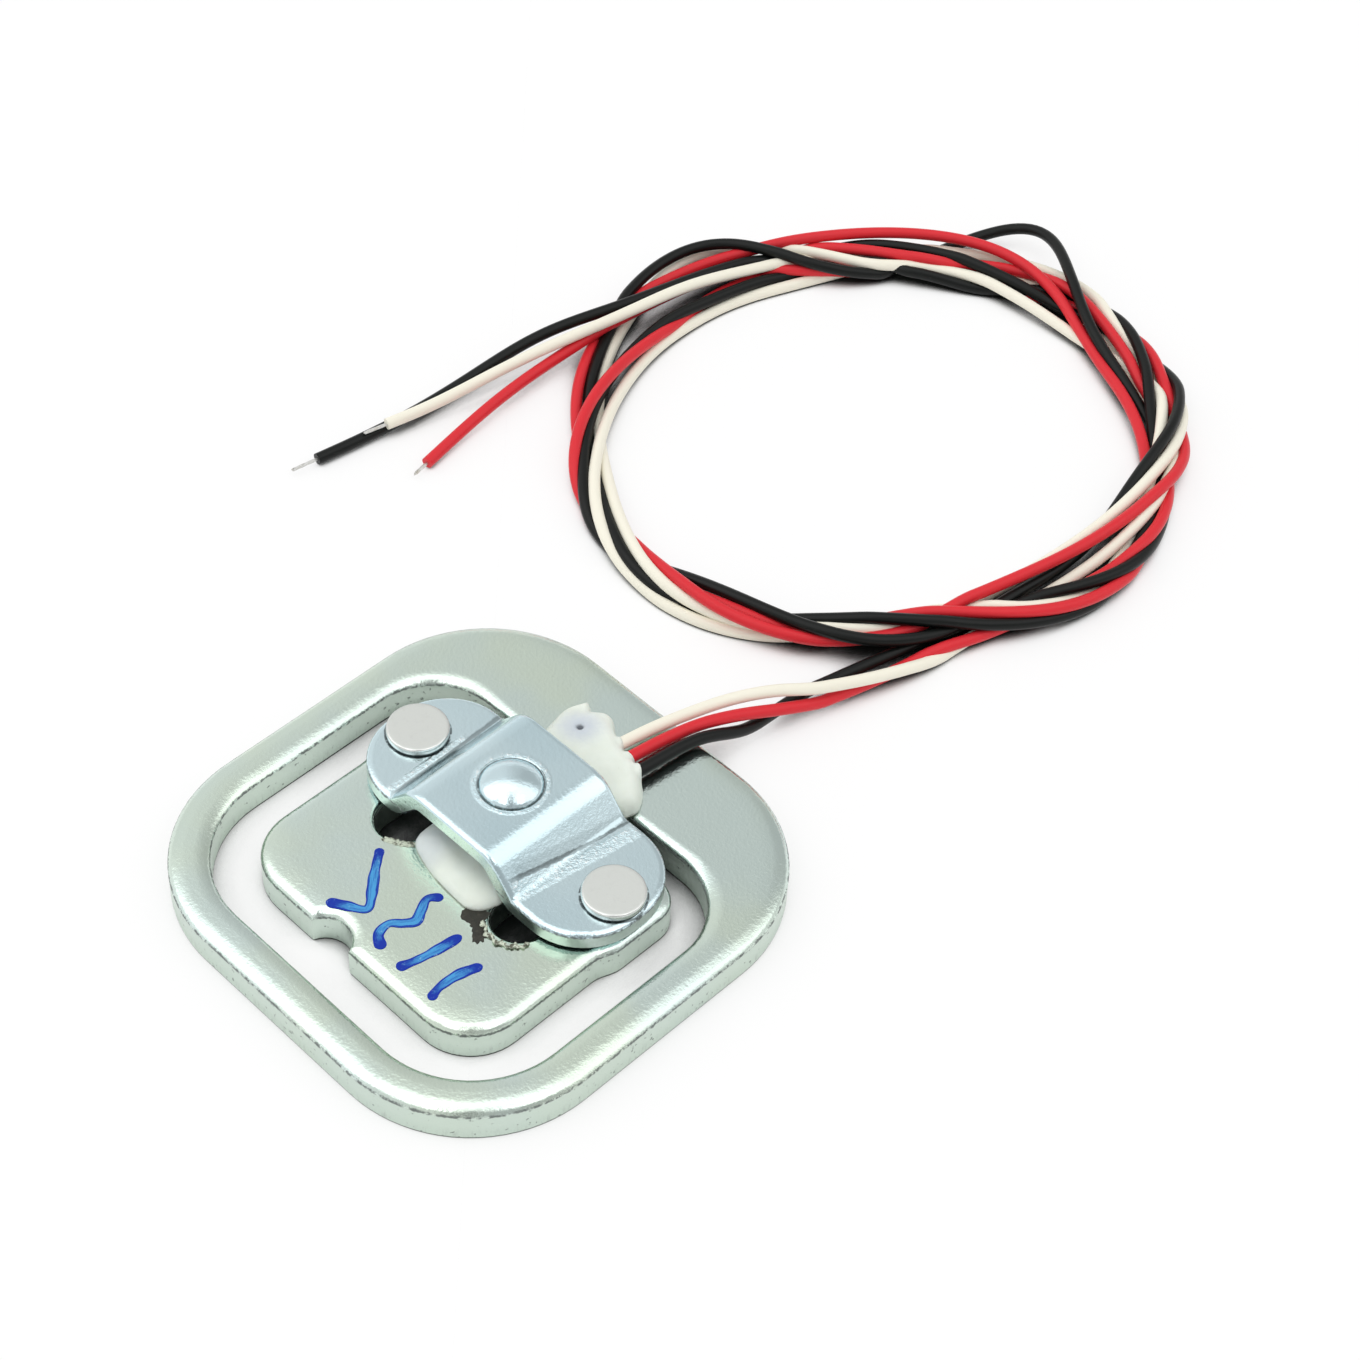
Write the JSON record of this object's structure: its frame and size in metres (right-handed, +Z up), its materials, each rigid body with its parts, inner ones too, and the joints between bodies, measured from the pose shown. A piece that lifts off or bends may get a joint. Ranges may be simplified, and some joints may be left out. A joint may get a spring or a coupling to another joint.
{
  "type": "body scale load cell",
  "caption": "Half bridge load cell of a body scale: stamped plate with a bending beam, riveted load bracket, sealed gauges and coiled wires.",
  "frame": {"origin": "middle of the sensor plate's under face, on the surface that it rests on", "axes": "+X from the free tongue towards the root, where the wires leave; +Y along the line of the two rivets; +Z up, away from the rest face"},
  "size_m": [0.0903, 0.0538, 0.0074],
  "materials": {
    "zinc_steel": "zinc plated, satin, slightly green",
    "blue_zinc_steel": "blue zinc plated, satin",
    "rivet_steel": "matte plated steel with bright rims",
    "gauge_backing": "translucent amber film",
    "gauge_foil": "etched foil",
    "solder": "bright solder",
    "white_sealant": "cured ivory white sealant",
    "tinned_copper": "tinned strands",
    "white_insulation": "cream flexible insulation",
    "red_insulation": "red flexible insulation",
    "black_insulation": "black flexible insulation",
    "coiled_insulation": "three wires laid together"
  },
  "bodies": {
    "root": {"sensor_plate": "zinc_steel", "load_bracket": "blue_zinc_steel", "rivet_left": "rivet_steel", "rivet_right": "rivet_steel", "gauge_film": "gauge_backing", "gauge_grid_long": "gauge_foil", "gauge_grid_cross": "gauge_foil", "solder_joint_white": "solder", "solder_joint_red": "solder", "solder_joint_black": "solder", "sealant": "white_sealant", "wire_core_white": "tinned_copper", "wire_core_red": "tinned_copper", "wire_core_black": "tinned_copper", "wire_lead_white": "white_insulation", "wire_lead_red": "red_insulation", "wire_lead_black": "black_insulation", "wire_coil": "coiled_insulation", "wire_tail_white": "white_insulation", "wire_tail_red": "red_insulation", "wire_tail_black": "black_insulation", "wire_tip_white": "tinned_copper", "wire_tip_red": "tinned_copper", "wire_tip_black": "tinned_copper"}
  },
  "joints": []
}
